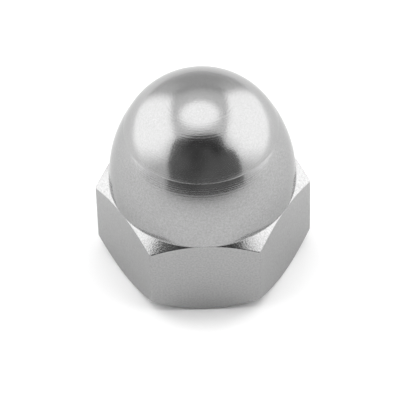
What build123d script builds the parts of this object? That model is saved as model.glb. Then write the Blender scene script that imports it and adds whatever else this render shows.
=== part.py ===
from build123d import *

import os
from math import cos, radians, sqrt, tan

# High domed cap nut for an 8 mm coarse thread, turned in one piece from hexagon bar.
# The origin is the centre of the bearing face and +Z is the thread's axis, towards the dome.
# Two corners of the hexagon lie along X, so that a flat faces -Y.

# Hexagon bar
across_flats = 13.0
corner_radius = 0.3            # rounding of the bar's six upright edges

# Hexagon, faced below and chamfered at both ends
hex_height = 6.58              # bearing face to the foot of the dome
bearing_inset = 0.24           # edge of the bearing face inside the flats
bearing_chamfer_angle = 39.3   # from the bearing face
dome_chamfer_angle = 35.0      # from the plane of the dome's foot

# Dome: a nearly upright flank and a rounder nose, which meet at a faint ring
dome_height = 8.5              # foot to top
dome_inset = 0.02              # foot inside the flats
ring_height = 5.01             # foot to ring
flank_radius = 10.25
nose_radius = 5.82

# Blind tapped hole, drilled to the size that the tap needs
tap_drill_diameter = 6.8
drill_point_angle = 118.0
crown_thickness = 1.9          # metal between the drill's point and the top of the dome
countersink_depth = 0.5
countersink_angle = 120.0

total_height = hex_height + dome_height
corner_reach = across_flats / 2 / cos(radians(30))
bearing_radius = across_flats / 2 - bearing_inset
foot_radius = across_flats / 2 - dome_inset

# The chamfers are cones that run out past the corners of the bar
bearing_chamfer_height = (corner_reach - bearing_radius) * tan(radians(bearing_chamfer_angle))
dome_chamfer_drop = (corner_reach - foot_radius) * tan(radians(dome_chamfer_angle))

# The ring lies on the nose, whose centre is on the axis
nose_centre_height = total_height - nose_radius
ring_level = hex_height + ring_height
ring_radius = sqrt(nose_radius**2 - (ring_level - nose_centre_height) ** 2)

bore_radius = tap_drill_diameter / 2
drill_point_length = bore_radius / tan(radians(drill_point_angle / 2))
bore_depth = total_height - crown_thickness - drill_point_length
mouth_radius = bore_radius + countersink_depth * tan(radians(countersink_angle / 2))

os.makedirs("parts", exist_ok=True)

with BuildPart() as cap_nut:
    # Length of bar
    with BuildSketch(Plane.XY) as bar_section:
        RegularPolygon(across_flats / 2, 6, major_radius=False)
        fillet(bar_section.vertices(), corner_radius)
    extrude(amount=total_height)

    # What the lathe leaves of it: half of the turned outline, in radius and height
    with BuildSketch(Plane.XZ) as turned_section:
        with BuildLine():
            Polyline(
                (0, total_height),
                (0, 0),
                (bearing_radius, 0),
                (corner_reach, bearing_chamfer_height),
                (corner_reach, hex_height - dome_chamfer_drop),
                (foot_radius, hex_height),
            )
            RadiusArc((foot_radius, hex_height), (ring_radius, ring_level), -flank_radius)
            RadiusArc((ring_radius, ring_level), (0, total_height), -nose_radius)
        make_face()
    revolve(axis=Axis.Z, mode=Mode.INTERSECT)

    # Tapping hole with its drill point and countersunk mouth
    with BuildSketch(Plane.XZ) as bore_section:
        with BuildLine():
            Polyline(
                (0, 0),
                (mouth_radius, 0),
                (bore_radius, countersink_depth),
                (bore_radius, bore_depth),
                (0, bore_depth + drill_point_length),
                close=True,
            )
        make_face()
    revolve(axis=Axis.Z, mode=Mode.SUBTRACT)

cap_nut.part.label = "cap_nut"
export_step(cap_nut.part, "parts/cap_nut.step")

print(f"total height {total_height:.3f} mm, across corners {cap_nut.part.bounding_box().size.X:.3f} mm")
print(f"bore {tap_drill_diameter:.2f} mm to {bore_depth:.3f} mm deep, ring radius {ring_radius:.3f} mm")
print(f"volume {cap_nut.part.volume:.2f} mm3, solids {len(cap_nut.part.solids())}")
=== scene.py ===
from math import asin, atan2, cos, pi, radians, sin, sqrt, tan

import bmesh
import bpy
from mathutils import Matrix, Vector


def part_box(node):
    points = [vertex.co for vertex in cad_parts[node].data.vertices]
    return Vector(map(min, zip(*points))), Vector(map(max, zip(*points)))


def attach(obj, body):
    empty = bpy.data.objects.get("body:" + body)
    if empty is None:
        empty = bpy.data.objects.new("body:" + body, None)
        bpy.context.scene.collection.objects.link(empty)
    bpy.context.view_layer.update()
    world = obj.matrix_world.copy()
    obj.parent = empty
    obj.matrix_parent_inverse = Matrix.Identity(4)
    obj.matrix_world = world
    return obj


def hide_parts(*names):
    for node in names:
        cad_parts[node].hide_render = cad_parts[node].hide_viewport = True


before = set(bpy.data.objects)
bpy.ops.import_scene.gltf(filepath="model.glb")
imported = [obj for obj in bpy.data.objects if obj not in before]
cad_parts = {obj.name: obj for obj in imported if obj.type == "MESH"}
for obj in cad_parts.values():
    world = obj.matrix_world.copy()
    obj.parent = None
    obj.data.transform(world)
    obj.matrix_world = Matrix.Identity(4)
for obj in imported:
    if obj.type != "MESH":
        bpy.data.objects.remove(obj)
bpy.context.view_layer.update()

mm = 0.001
cadLow, cadHigh = (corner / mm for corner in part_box("cap_nut"))


class Wire:
    # A socket that can be added, multiplied and so on; each sum adds its Math node
    def __init__(self, tree, socket=None):
        self.tree = tree
        self.socket = socket

    def node(self, kind, settings=None, inputs=None, output=0):
        made = self.tree.nodes.new(kind)
        for name, value in (settings or {}).items():
            setattr(made, name, value)
        for name, value in (inputs or {}).items():
            if isinstance(value, Wire):
                self.tree.links.new(value.socket, made.inputs[name])
            else:
                made.inputs[name].default_value = value
        return Wire(self.tree, made.outputs[output] if made.outputs else None)

    def math(self, operation, first, second=0.0):
        return self.node("ShaderNodeMath", {"operation": operation}, {0: first, 1: second})

    def __add__(self, other):
        return self.math("ADD", self, other)

    def __radd__(self, other):
        return self.math("ADD", other, self)

    def __sub__(self, other):
        return self.math("SUBTRACT", self, other)

    def __rsub__(self, other):
        return self.math("SUBTRACT", other, self)

    def __mul__(self, other):
        return self.math("MULTIPLY", self, other)

    def __rmul__(self, other):
        return self.math("MULTIPLY", other, self)

    def __pow__(self, other):
        return self.math("POWER", self, other)

    def rise(self, low, high):
        # Smooth step from 0 at low to 1 at high
        return self.node("ShaderNodeMapRange", {"interpolation_type": "SMOOTHSTEP"},
                         {"Value": self, "From Min": low, "From Max": high})

    def axes(self):
        # The three coordinates of a place
        return [self.node("ShaderNodeSeparateXYZ", None, {"Vector": self}, axis) for axis in range(3)]

    def grey(self):
        return self.node("ShaderNodeCombineColor", None, {"Red": self, "Green": self, "Blue": self})


# The nut's form, in millimetres and degrees. Overall sizes come from the bounds of the cap_nut part in
# model.glb.
nut = {
    "acrossFlats": cadHigh.y - cadLow.y,
    "height": cadHigh.z,
    "hexHeight": 6.58,
    "cornerRadius": 0.3,
    "footInset": 0.01,         # dome's foot inside the flats
    "bearingInset": 0.24,      # bearing face inside the flats
    "bearingChamfer": 39.3,
    "domeChamfer": 38,
    "lowerEdge": 0.05,         # rounding of the edges round the bearing face
    "upperEdge": 0.10,         # rounding where the upper chamfer meets the flats
    "shelf": 0.03,             # narrow ledge round the dome's foot
    "shelfSlope": 14,
    "leastChamfer": 0.01,      # a chamfer narrower than this is left out
    "footRadius": 0.04,        # hollow where the dome stands on it
    "ringHeight": 5.01,        # foot of the dome to the ring
    "flankStart": 0.25,        # first row of the flank, along it from the foot
    "flankRadius": 10.25,
    "noseRadius": 5.82,
    "ringWidth": 0.05,
    "ringDepth": 0.0010,
    "flatColumns": 32,
    "cornerColumns": 8,
    "edgeSteps": 4,
    "flankRows": 26,
    "noseRows": 44,
    "support": 0.06,           # rows that keep a chamfer straight, as a share in from each end
    "sharpFrom": 38,           # edges that turn by more than this are drawn sharp
}

# The tapped hole, in millimetres and degrees
hole = {
    "thread": 8.0,
    "pitch": 1.25,
    "tapDrill": 6.8,
    "pointAngle": 118,
    "crown": 1.9,              # metal over the drill's point
    "countersinkDepth": 0.5,
    "countersinkAngle": 120,
    "threadDepth": 9.2,
    "runOut": 1.6,             # length over which the last thread fades
    "rowSplit": 2,
}

zones = ["dome", "chamfer", "flat", "bearing", "bore"]


def sectorAngles():
    # Column angles over one sixth of the nut, from one corner to the next
    halfCorner = cornerHalfAngle()
    corner = [halfCorner * (2 * step / nut["cornerColumns"] - 1) for step in range(nut["cornerColumns"])]
    flatAngle = pi / 3 - 2 * halfCorner
    flat = [halfCorner + flatAngle * step / nut["flatColumns"] for step in range(nut["flatColumns"])]
    return corner + flat


def cornerCentre():
    return (nut["acrossFlats"] / 2 - nut["cornerRadius"]) / cos(pi / 6)


def cornerHalfAngle():
    return atan2(nut["cornerRadius"] * 0.5, cornerCentre() + nut["cornerRadius"] * cos(pi / 6))


def hexReach(angle):
    # Distance from the axis to the hexagon's side at this angle
    fromCorner = abs((angle + pi / 6) % (pi / 3) - pi / 6)
    if fromCorner >= cornerHalfAngle():
        return nut["acrossFlats"] / 2 / cos(pi / 6 - fromCorner)
    centre = cornerCentre()
    return centre * cos(fromCorner) + sqrt(nut["cornerRadius"] ** 2 - (centre * sin(fromCorner)) ** 2)


def roundedCorner(before, corner, after, radius):
    # Arc in place of a corner, smaller where its neighbours are close
    toBefore, toAfter = before - corner, after - corner
    half = toBefore.angle(toAfter) / 2
    longest = 0.45             # share of a side that an arc may take
    cut = min(radius / tan(half), longest * toBefore.length, longest * toAfter.length)
    steps = nut["edgeSteps"]
    straight = 0.49 * pi       # from here a corner is as good as straight, and gets spaced points instead
    spread = 0.4
    if half > straight:
        first, last = corner + spread * toBefore, corner + spread * toAfter
        return [first.lerp(last, step / steps) for step in range(steps + 1)]
    toBefore.normalize()
    toAfter.normalize()
    centre = corner + (toBefore + toAfter).normalized() * cut / cos(half)
    first, last = corner + toBefore * cut - centre, corner + toAfter * cut - centre
    return [centre + first.slerp(last, step / steps).normalized() * first.length for step in range(steps + 1)]


def domeOutline():
    # Flank and nose arcs, from just above the foot to the crown, with the ring between them
    noseCentre = nut["height"] - nut["noseRadius"]
    ringLevel = nut["hexHeight"] + nut["ringHeight"]
    ring = Vector((sqrt(nut["noseRadius"] ** 2 - (ringLevel - noseCentre) ** 2), ringLevel))
    foot = Vector((nut["acrossFlats"] / 2 - nut["footInset"], nut["hexHeight"]))
    chord = ring - foot
    outward = Vector((chord.y, -chord.x)).normalized()
    flankCentre = (foot + ring) / 2 - outward * sqrt(nut["flankRadius"] ** 2 - chord.length_squared / 4)
    halfMark = nut["ringWidth"] / 2
    start = asin((foot.y - flankCentre.y) / nut["flankRadius"]) + nut["flankStart"] / nut["flankRadius"]
    end = asin((ring.y - flankCentre.y) / nut["flankRadius"]) - halfMark / nut["flankRadius"]
    points = []
    for step in range(nut["flankRows"] + 1):
        angle = start + (end - start) * step / nut["flankRows"]
        points.append(flankCentre + nut["flankRadius"] * Vector((cos(angle), sin(angle))))
    points.append(ring - outward * nut["ringDepth"])
    start = asin((ring.y - noseCentre) / nut["noseRadius"]) + halfMark / nut["noseRadius"]
    for step in range(nut["noseRows"] + 1):
        angle = start + (pi / 2 - start) * step / nut["noseRows"]
        points.append(Vector((0, noseCentre)) + nut["noseRadius"] * Vector((cos(angle), sin(angle))))
    return points


def mouthRadius(level=0.0):
    flare = tan(radians(hole["countersinkAngle"] / 2))
    return hole["tapDrill"] / 2 + max(hole["countersinkDepth"] - level, 0) * flare


def outline(angle, dome):
    # Outline at this angle from the hole's mouth to the crown, and the zone of each stretch of it
    reach = hexReach(angle)
    mouth = Vector((mouthRadius(), 0))
    bearing = Vector((nut["acrossFlats"] / 2 - nut["bearingInset"], 0))
    foot = Vector((nut["acrossFlats"] / 2 - nut["footInset"], nut["hexHeight"]))
    shelf = foot + Vector((nut["shelf"], -nut["shelf"] * tan(radians(nut["shelfSlope"]))))
    lower = Vector((reach, (reach - bearing.x) * tan(radians(nut["bearingChamfer"]))))
    if reach > shelf.x + nut["leastChamfer"]:
        upper = Vector((reach, shelf.y - (reach - shelf.x) * tan(radians(nut["domeChamfer"]))))
    else:
        upper = Vector((reach, foot.y - (reach - foot.x) * tan(radians(nut["shelfSlope"]))))
        shelf = foot.lerp(upper, 0.5)
    edge = nut["lowerEdge"]
    upperEdge = roundedCorner(lower, upper, shelf, nut["upperEdge"])
    shelfEdge = roundedCorner(upper, shelf, foot, edge)
    # Rows close to both ends keep the chamfer between them straight
    span = shelfEdge[0] - upperEdge[-1]
    supports = [upperEdge[-1] + share * span for share in (nut["support"], 1 - nut["support"])]
    bands = [
        ("bearing", [mouth, mouth.lerp(bearing, 0.5)] + roundedCorner(mouth, bearing, lower, edge)),
        ("bearing", roundedCorner(bearing, lower, upper, edge)),
        ("flat", upperEdge[:1]),
        ("chamfer", upperEdge[1:] + supports + shelfEdge),
        ("chamfer", roundedCorner(shelf, foot, dome[0], nut["footRadius"])),
        ("dome", dome),
    ]
    points = [point for zone, stretch in bands for point in stretch]
    names = [zone for zone, stretch in bands for point in stretch]
    return points, names[1:]


def threadRows():
    # Height within one pitch and depth, 0 at the crest and 1 at the root, of each row along the thread
    depth = (hole["thread"] - hole["tapDrill"]) / 2
    rootHalf = 1 / 16
    flank = depth * tan(radians(30)) / hole["pitch"]
    keys = [(-rootHalf, 1), (rootHalf, 1), (rootHalf + flank, 0),
            (1 - rootHalf - flank, 0), (1 - rootHalf, 1)]
    rows = []
    for (here, hereDepth), (there, thereDepth) in zip(keys, keys[1:]):
        for split in range(hole["rowSplit"]):
            share = split / hole["rowSplit"]
            rows.append((here + (there - here) * share, hereDepth + (thereDepth - hereDepth) * share))
    return rows


def boreRadius(level, depth):
    fade = min(max((hole["threadDepth"] - level) / hole["runOut"], 0), 1)
    thread = hole["tapDrill"] / 2 + depth * fade * (hole["thread"] - hole["tapDrill"]) / 2
    return max(thread, mouthRadius(level))


def makeNut():
    angles = [sector * pi / 3 + angle for sector in range(6) for angle in sectorAngles()]
    vertices, faces, faceZones = [], [], []

    def addColumns(columns, rowShift, names):
        # Faces between neighbouring columns; the last meets the first rowShift rows further up
        starts = []
        for angle, column in zip(angles, columns):
            starts.append(len(vertices))
            vertices.extend((r * cos(angle) * mm, r * sin(angle) * mm, z * mm) for r, z in column)
        for index in range(len(columns)):
            following = (index + 1) % len(columns)
            shift = rowShift if following == 0 else 0
            for row in range(len(columns[index]) - 1 - shift):
                here, there = starts[index] + row, starts[following] + row + shift
                faces.append((here, there, there + 1, here + 1))
                faceZones.append(zones.index(names[row]))

    dome = domeOutline()
    outlines = [outline(angle, dome) for angle in angles]
    addColumns([points for points, names in outlines], 0, outlines[0][1])

    # Turns from below the mouth to past the thread's end; rows beyond either end are held at it
    rows = threadRows()
    turns = int(hole["threadDepth"] / hole["pitch"]) + 3
    columns = []
    for angle in angles:
        column = []
        for turn in range(-1, turns):
            for height, depth in rows:
                level = (turn + height + angle / (2 * pi)) * hole["pitch"]
                level = min(max(level, 0), hole["threadDepth"])
                column.append((boreRadius(level, depth), level))
        columns.append(column)
    addColumns(columns, len(rows), ["bore"] * len(columns[0]))

    radius = hole["tapDrill"] / 2
    tip = nut["height"] - hole["crown"]
    shoulder = tip - radius / tan(radians(hole["pointAngle"] / 2))
    halfway = (radius / 2, (shoulder + tip) / 2)
    drilled = [(radius, hole["threadDepth"]), (radius, shoulder), halfway, (0, tip)]
    addColumns([drilled] * len(angles), 0, ["bore"] * len(drilled))

    mesh = bpy.data.meshes.new("capNut")
    mesh.from_pydata(vertices, [], faces)
    mesh.polygons.foreach_set("material_index", faceZones)
    work = bmesh.new()
    work.from_mesh(mesh)
    bmesh.ops.remove_doubles(work, verts=work.verts, dist=1e-7)
    bmesh.ops.dissolve_degenerate(work, edges=work.edges, dist=1e-8)
    bmesh.ops.recalc_face_normals(work, faces=work.faces)
    work.to_mesh(mesh)
    openEdges = sum(1 for edge in work.edges if len(edge.link_faces) != 2)
    work.free()
    mesh.shade_smooth()
    mesh.set_sharp_from_angle(angle=radians(nut["sharpFrom"]))
    piece = bpy.data.objects.new("capNut", mesh)
    bpy.context.scene.collection.objects.link(piece)
    weighted = piece.modifiers.new("levelFlats", "WEIGHTED_NORMAL")
    weighted.keep_sharp = True
    print("nut mesh:", len(mesh.polygons), "faces,", openEdges, "open edges")
    return piece


# Finish of each zone. Marks and grain are in millimetres: how far apart, and how deep.
finishes = {
    "dome": {"shade": 0.328, "roughness": 0.17, "lay": "turned", "markSpacing": 0.13, "markDepth": 0.0030,
             "grainSize": 0.13, "grainDepth": 0.0032, "edgeTint": 0.75},
    "chamfer": {"shade": 0.345, "roughness": 0.15, "lay": "turned", "markSpacing": 0.09, "markDepth": 0.0020,
                "grainSize": 0.13, "grainDepth": 0.0080, "edgeTint": 1.0},
    "flat": {"shade": 0.318, "roughness": 0.36, "lay": "drawn", "markSpacing": 0.12, "markDepth": 0.0020,
             "grainSize": 0.13, "grainDepth": 0.0080, "edgeTint": 1.0},
    "bearing": {"shade": 0.33, "roughness": 0.30, "lay": "turned", "markSpacing": 0.10, "markDepth": 0.0030,
                "grainSize": 0.12, "grainDepth": 0.0030, "edgeTint": 1.0},
    "bore": {"shade": 0.30, "roughness": 0.34, "lay": "turned", "markSpacing": 0.08, "markDepth": 0.0016,
             "grainSize": 0.12, "grainDepth": 0.0012, "edgeTint": 1.0},
}

# Just under the ring: coarser marks, and a bump that makes the surface seem to lean in by some degrees
overlap = {"from": 10.87, "to": 11.60, "fadeIn": 0.3, "fadeOut": 0.15, "spacing": 0.10, "depth": 0.0030,
           "wander": 0.03, "lean": 1.35}

# How each finish varies: clouds over a few millimetres, and the grain
variation = {"cloudScale": 0.45, "cloudTone": 0.08, "cloudRoughness": 0.08, "grainTone": 0.62,
             "grainToneAbove": 0.22, "grainRoughness": 0.06, "lineSlope": 0.7, "lineWander": 0.04,
             "drawnStretch": 0.3}


def steel(zone):
    look = finishes[zone]
    material = bpy.data.materials.new(zone + "Steel")
    material.use_nodes = True
    material.node_tree.nodes.clear()
    start = Wire(material.node_tree)
    place = start.node("ShaderNodeTexCoord", output="Object")
    scaled = start.node("ShaderNodeVectorMath", {"operation": "SCALE"}, {"Vector": place, "Scale": 1 / mm})
    x, y, z = scaled.axes()
    radius = (x * x + y * y) ** 0.5
    cloud = start.node("ShaderNodeTexNoise", None,
                       {"Vector": scaled, "Scale": variation["cloudScale"], "Detail": 4.0})
    grain = start.node("ShaderNodeTexNoise", None,
                       {"Vector": scaled, "Scale": 1 / look["grainSize"], "Detail": 2.0, "Roughness": 0.6})
    if look["lay"] == "turned":
        wander = (cloud - 0.5) * variation["lineWander"]
        along = z - radius * variation["lineSlope"] + wander
        marks = start.node("ShaderNodeTexNoise", {"noise_dimensions": "1D"},
                           {"W": along, "Scale": 1 / look["markSpacing"], "Detail": 2.0})
    else:
        perMark = 1 / look["markSpacing"]
        stretch = start.node("ShaderNodeVectorMath", {"operation": "MULTIPLY"},
                             {0: scaled, 1: (perMark, perMark, variation["drawnStretch"])})
        marks = start.node("ShaderNodeTexNoise", None, {"Vector": stretch, "Scale": 1.0, "Detail": 2.0})
    relief = marks * look["markDepth"] + grain * look["grainDepth"]
    grainTone = variation["grainTone"]
    if zone == "dome":
        low, high = overlap["from"], overlap["to"]
        lines = start.node("ShaderNodeTexNoise", {"noise_dimensions": "1D"},
                           {"W": z + cloud * overlap["wander"], "Scale": 1 / overlap["spacing"],
                            "Detail": 1.0})
        fadeIn = z.rise(low, low + overlap["fadeIn"])
        fadeOut = 1 - z.rise(high - overlap["fadeOut"], high)
        relief = relief + lines * overlap["depth"] * fadeIn * fadeOut
        step = start.node("ShaderNodeMapRange", None, {"Value": z, "From Min": low, "From Max": high})
        relief = relief - step * ((high - low) * tan(radians(overlap["lean"])))
        # The grain shows less above the ring
        grainTone = grainTone - (grainTone - variation["grainToneAbove"]) * z.rise(low, high)
    clouded, grained = cloud - 0.5, grain - 0.5
    roughness = look["roughness"] + clouded * variation["cloudRoughness"]
    roughness = roughness + grained * variation["grainRoughness"]
    tone = look["shade"] * (1 + clouded * variation["cloudTone"] + grained * grainTone)
    normal = start.node("ShaderNodeBump", None, {"Height": relief, "Strength": 1.0, "Distance": mm})
    edge = look["edgeTint"]
    surface = start.node("ShaderNodeBsdfPrincipled", None,
                         {"Base Color": tone.grey(), "Metallic": 1.0, "Roughness": roughness,
                          "Normal": normal, "Specular Tint": (edge, edge, edge, 1)})
    start.node("ShaderNodeOutputMaterial", None, {"Surface": surface})
    return material


# The studio, a tent of glowing cloth. Each cloth's places are in units of its own distance from the nut.
studio = {
    "centre": 9.0,             # height on the nut that the cloths are measured from, mm
    "wall": 130.0,             # side cloths' distance from the nut, mm
    "ceiling": 286.0,
    "back": 415.0,
    "flag": 80.0,
    "hang": 0.9,               # how far down towards the floor the side cloths reach, as a share of centre
    "cornerHeight": 0.45,      # below this the side cloths' bright part draws back from the front
    "floorReach": 20,          # half the floor's width, in distances of the side cloths
    "room": 0.74,
    "floor": 0.88,
}

leftCloth = {"edges": (-1.0, -0.2, 0.95, 1.8), "heights": (1.17, 1.62), "bright": 2.56, "dim": 1.07}
rightCloth = {"edges": (-1.15, -0.25, 1.15, 2.0), "heights": (1.3, 1.76), "bright": 2.56, "dim": 1.07}
ceilingCloth = {"edges": (-0.42, 0.6, 1.45), "halfWidth": 0.95,
                "bright": 2.56, "dim": 1.35, "back": 0.71,
                "spot": (-0.03, 0.14), "spotSize": (0.52, 0.42), "spotEdge": (0.65, 1.1)}
backCloth = {"halfWidth": 0.75, "top": 0.69, "dim": 0.83, "bright": 1.12, "across": (0.10, 0.50), "low": 0.22}

# Two lamps light the floor alone, from both sides and a little behind, so that the shadow falls in front.
# Places are in millimetres, as seen from the nut's foot.
floorLamps = {"aside": 120.0, "behind": (22.0, 98.0), "heights": (90.0, 174.0), "bright": 5.8}

# The dark flag the camera looks past, (across, up)
flag = {
    "outline": [(-0.85, 0), (-1.15, 0.5), (-1.35, 1.2), (-1.6, 1.75), (-1.5, 2.1), (-0.85, 2.4), (0, 2.5),
                (1.15, 2.75), (1.15, 1.9), (1.0, 1.45), (1.05, 1.15), (1.38, 1.0), (1.4, 0.5), (1.2, 0)],
    "core": (0.0, 1.4),
    "dark": 0.052,
    "pale": 0.23,
    "fade": 1.5,               # distance from the core at which it is palest
    "mottle": 3.0,
    "mottleScale": 1.5,
}


def stageMaterial(name, shade=0.0, glow=0.0):
    # Plain diffuse surface, or one that only glows. The glow is a number, or a function that gives a wire.
    material = bpy.data.materials.new(name)
    material.use_nodes = True
    material.node_tree.nodes.clear()
    start = Wire(material.node_tree)
    parts = {"Base Color": (shade, shade, shade, 1), "Roughness": 1.0, "Specular IOR Level": 0.0}
    if isinstance(glow, float):
        parts["Emission Color"] = (1, 1, 1, 1)
        parts["Emission Strength"] = glow
    else:
        parts["Emission Color"] = glow(start).grey()
        parts["Emission Strength"] = 1.0
    surface = start.node("ShaderNodeBsdfPrincipled", None, parts)
    start.node("ShaderNodeOutputMaterial", None, {"Surface": surface})
    return material


def stageBoard(name, corners, material, level=0.0, seen=False):
    mesh = bpy.data.meshes.new(name)
    vertices = [tuple(value * mm for value in corner) for corner in corners]
    mesh.from_pydata(vertices, [], [tuple(range(len(corners)))])
    mesh.materials.append(material)
    board = bpy.data.objects.new(name, mesh)
    board.location.z = level * mm
    bpy.context.scene.collection.objects.link(board)
    board.visible_camera = seen
    return board


def placeAt(start, distance):
    # Place on a board in units of its distance
    here = start.node("ShaderNodeTexCoord", output="Object")
    share = 1 / (distance * mm)
    return start.node("ShaderNodeVectorMath", {"operation": "SCALE"}, {"Vector": here, "Scale": share})


def sideCloth(name, side, cloth):
    wall = studio["wall"]
    front, frontCore, backCore, back = cloth["edges"]
    coreTop, top = cloth["heights"]

    def glow(start):
        x, y, z = placeAt(start, wall).axes()
        lowCorner = start.math("MINIMUM", z - studio["cornerHeight"], 0.0)
        along = (y + lowCorner).rise(front, frontCore) * (1 - y.rise(backCore, back))
        share = along * (1 - z.rise(coreTop, top))
        return cloth["dim"] + (cloth["bright"] - cloth["dim"]) * share

    foot = -studio["hang"] * studio["centre"] / wall
    corners = [(side, front, foot), (side, back, foot), (side, back, top), (side, front, top)]
    stageBoard(name, [(x * wall, y * wall, z * wall) for x, y, z in corners],
               stageMaterial(name, glow=glow), studio["centre"])


def ceilingGlow(start):
    x, y, z = placeAt(start, studio["ceiling"]).axes()
    spotX, spotY = ceilingCloth["spot"]
    sizeX, sizeY = ceilingCloth["spotSize"]
    acrossSpot = (x - spotX) * (1 / sizeX)
    alongSpot = (y - spotY) * (1 / sizeY)
    fromSpot = (acrossSpot * acrossSpot + alongSpot * alongSpot) ** 0.5
    towardsBack = y.rise(*ceilingCloth["edges"][1:])
    base = ceilingCloth["dim"] - (ceilingCloth["dim"] - ceilingCloth["back"]) * towardsBack
    spot = 1 - fromSpot.rise(*ceilingCloth["spotEdge"])
    return base + (ceilingCloth["bright"] - ceilingCloth["dim"]) * spot


def backGlow(start):
    # Darkest in the middle, and paler to both sides and towards the floor
    x, y, z = placeAt(start, studio["back"]).axes()
    inner, outer = backCloth["across"]
    middle = (1 - (x * x).rise(inner ** 2, outer ** 2)) * z.rise(0.0, backCloth["low"])
    return backCloth["bright"] - (backCloth["bright"] - backCloth["dim"]) * middle


def flagGlow(start):
    here = placeAt(start, studio["flag"])
    x, y, z = here.axes()
    coreX, coreZ = flag["core"]
    offset = ((x - coreX) * (x - coreX) + (z - coreZ) * (z - coreZ)) ** 0.5
    mottle = start.node("ShaderNodeTexNoise", None,
                        {"Vector": here, "Scale": flag["mottleScale"], "Detail": 2.0})
    uneven = offset + (mottle - 0.5) * flag["mottle"]
    return flag["dark"] + (flag["pale"] - flag["dark"]) * uneven.rise(0.0, flag["fade"])


def makeStudio():
    reach = studio["floorReach"] * studio["wall"]
    paper = stageMaterial("floorPaper", shade=studio["floor"])
    corners = [(-reach, -reach, 0), (reach, -reach, 0), (reach, reach, 0), (-reach, reach, 0)]
    stageBoard("floor", corners, paper, seen=True)
    sideCloth("leftCloth", -1, leftCloth)
    sideCloth("rightCloth", 1, rightCloth)
    above, half = studio["ceiling"], ceilingCloth["halfWidth"]
    front, back = ceilingCloth["edges"][0], ceilingCloth["edges"][2]
    corners = [(-half, front, 1), (half, front, 1), (half, back, 1), (-half, back, 1)]
    stageBoard("ceilingCloth", [(x * above, y * above, z * above) for x, y, z in corners],
               stageMaterial("ceilingCloth", glow=ceilingGlow), studio["centre"])
    behind, half, top = studio["back"], backCloth["halfWidth"], backCloth["top"]
    corners = [(-half, 0), (half, 0), (half, top), (-half, top)]
    stageBoard("backCloth", [(x * behind, behind, z * behind) for x, z in corners],
               stageMaterial("backCloth", glow=backGlow), studio["centre"])
    near, far = floorLamps["behind"]
    low, high = floorLamps["heights"]
    for name, x in [("leftLamp", -floorLamps["aside"]), ("rightLamp", floorLamps["aside"])]:
        lamp = stageBoard(name, [(x, near, low), (x, far, low), (x, far, high), (x, near, high)],
                          stageMaterial(name, glow=floorLamps["bright"]))
        lamp.visible_glossy = False
    away = studio["flag"]
    stageBoard("frontFlag", [(x * away, -away, z * away) for x, z in flag["outline"]],
               stageMaterial("frontFlag", glow=flagGlow), studio["centre"])
    world = bpy.data.worlds.new("roomLight")
    world.use_nodes = True
    grey = studio["room"]
    world.node_tree.nodes["Background"].inputs["Color"].default_value = (grey, grey, grey, 1)
    bpy.context.scene.world = world


# The camera, placed by where the centre of the bearing face falls in the 400 pixel frame
view = {
    "elevation": 47.78,        # degrees
    "roll": -1.73,
    "distance": 238.8,         # mm, along the line of sight
    "lens": 303.9,
    "sensor": 36,
    "frame": 400,
    "nutAt": (204.45, 239.82),
}


def makeCamera():
    tilt, roll = radians(view["elevation"]), radians(view["roll"])
    forward = Vector((0, cos(tilt), -sin(tilt)))
    level = Vector((1, 0, 0))
    upright = level.cross(forward)
    right = cos(roll) * level + sin(roll) * upright
    up = cos(roll) * upright - sin(roll) * level
    camera = bpy.data.objects.new("camera", bpy.data.cameras.new("camera"))
    lens = camera.data
    lens.sensor_width = view["sensor"]
    lens.lens = view["lens"]
    lens.clip_start, lens.clip_end = 0.01, 20
    perPixel = view["distance"] * lens.sensor_width / lens.lens / view["frame"]
    across = (view["nutAt"][0] - view["frame"] / 2) * perPixel
    down = (view["nutAt"][1] - view["frame"] / 2) * perPixel
    place = down * up - across * right - view["distance"] * forward
    camera.matrix_world = Matrix((right, up, -forward)).transposed().to_4x4()
    camera.location = place * mm
    bpy.context.scene.collection.objects.link(camera)
    bpy.context.scene.camera = camera


makeCamera()
makeStudio()
print("camera and studio ready")

capNut = makeNut()
for zone in zones:
    capNut.data.materials.append(steel(zone))
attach(capNut, "root")
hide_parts("cap_nut")
print("nut dressed")

bpy.context.scene.view_settings.view_transform = "Standard"
